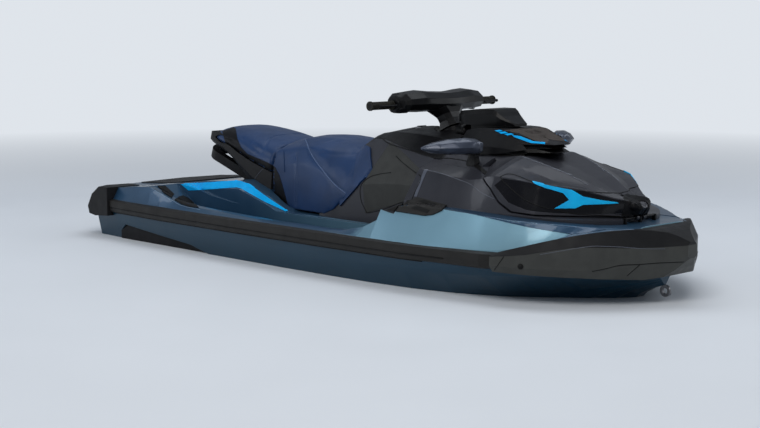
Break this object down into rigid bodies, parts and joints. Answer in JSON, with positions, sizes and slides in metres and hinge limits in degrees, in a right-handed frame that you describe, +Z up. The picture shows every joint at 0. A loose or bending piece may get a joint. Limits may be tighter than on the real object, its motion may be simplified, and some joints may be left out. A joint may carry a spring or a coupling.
{
  "type": "personal watercraft",
  "caption": "Three-seat personal watercraft afloat: planing hull, deck with footwells, saddle seat, handlebar, front-hinged hood, jet pump with steering nozzle and reverse bucket.",
  "frame": {"origin": "on the centreline at the waterline, half way along the craft", "axes": "+X towards the bow, +Y to port, +Z up"},
  "size_m": [3.437, 1.25, 1.1418],
  "materials": {
    "hull_paint": "metallic gloss",
    "deck_paint": "metallic gloss",
    "console_grey": "metallic satin",
    "trim_black": "moulded",
    "bumper_grey": "moulded",
    "lens_black": "high gloss",
    "accent_blue": "gloss",
    "seat_vinyl": "grained vinyl",
    "knee_grey": "satin",
    "mat_foam": "ribbed foam",
    "grip_rubber": "textured",
    "pump_alloy": "cast satin",
    "steel": "brushed",
    "screen": "glass like",
    "mirror": "polished",
    "engine_alloy": "cast"
  },
  "bodies": {
    "craft": {"hull": "hull_paint", "deck": "deck_paint", "hood_hinge": "steel", "console": "console_grey", "side_panels": "console_grey", "knee_pads": "knee_grey", "side_vents": "console_grey", "glovebox_hinge": "steel", "steering_column": "trim_black", "mirrors": "console_grey", "mirror_glass": "mirror", "storage_bin": "trim_black", "seat_front": "seat_vinyl", "seat_rear": "seat_vinyl", "seat_shell": "trim_black", "grab_handle": "trim_black", "pump_housing": "pump_alloy", "ride_plate": "pump_alloy", "intake_grate": "pump_alloy", "engine": "engine_alloy", "gunwale_bands": "bumper_grey", "bow_bumper": "bumper_grey", "bumper_cap": "trim_black", "stern_corners": "trim_black", "deck_mats": "mat_foam", "footwells": "deck_paint", "sponsons": "trim_black", "step_brackets": "steel", "drain_plugs": "trim_black", "towing_eyes": "steel"},
    "hood": {"hood": "console_grey", "lenses": "lens_black", "lens_accents": "accent_blue", "scoop": "trim_black", "gauge_pod": "trim_black", "gauge_screen": "screen"},
    "glovebox": {"glovebox_lid": "trim_black"},
    "steering": {"steering_neck": "trim_black", "handlebar": "steel", "bar_cover": "trim_black", "switch_pods": "trim_black", "grips": "grip_rubber", "levers": "trim_black"},
    "nozzle": {"steering_nozzle": "pump_alloy"},
    "bucket": {"reverse_bucket": "pump_alloy"},
    "impeller": {"impeller": "steel"},
    "step": {"stern_step": "trim_black"}
  },
  "joints": [
    {"name": "hood_opening", "type": "hinge", "parent": "craft", "child": "hood", "pos_m": [1.47, 0, 0.325], "axis": [0, 1, 0], "range_deg": [0, 50]},
    {"name": "glovebox_opening", "type": "hinge", "parent": "craft", "child": "glovebox", "pos_m": [0.24, 0, 0.62851], "axis": [0, 1, 0], "range_deg": [0, 60]},
    {"name": "steering_turn", "type": "hinge", "parent": "craft", "child": "steering", "pos_m": [0.44, 0, 0.622], "axis": [-0.4226, 0, 0.9063], "range_deg": [-22, 22]},
    {"name": "nozzle_turn", "type": "hinge", "parent": "craft", "child": "nozzle", "pos_m": [-1.42, 0, -0.19], "axis": [0, 0, 1], "range_deg": [-20, 20]},
    {"name": "bucket_drop", "type": "hinge", "parent": "craft", "child": "bucket", "pos_m": [-1.345, 0, -0.19], "axis": [0, -1, 0], "range_deg": [0, 60]},
    {"name": "impeller_spin", "type": "hinge", "parent": "craft", "child": "impeller", "pos_m": [-1.2, 0, -0.19], "axis": [1, 0, 0], "continuous": true},
    {"name": "step_drop", "type": "hinge", "parent": "craft", "child": "step", "pos_m": [-1.622, 0, -0.06], "axis": [0, -1, 0], "range_deg": [0, 165]}
  ],
  "couplings": [
    {"joint": "nozzle_turn", "follows": "steering_turn", "ratio": -0.9}
  ]
}
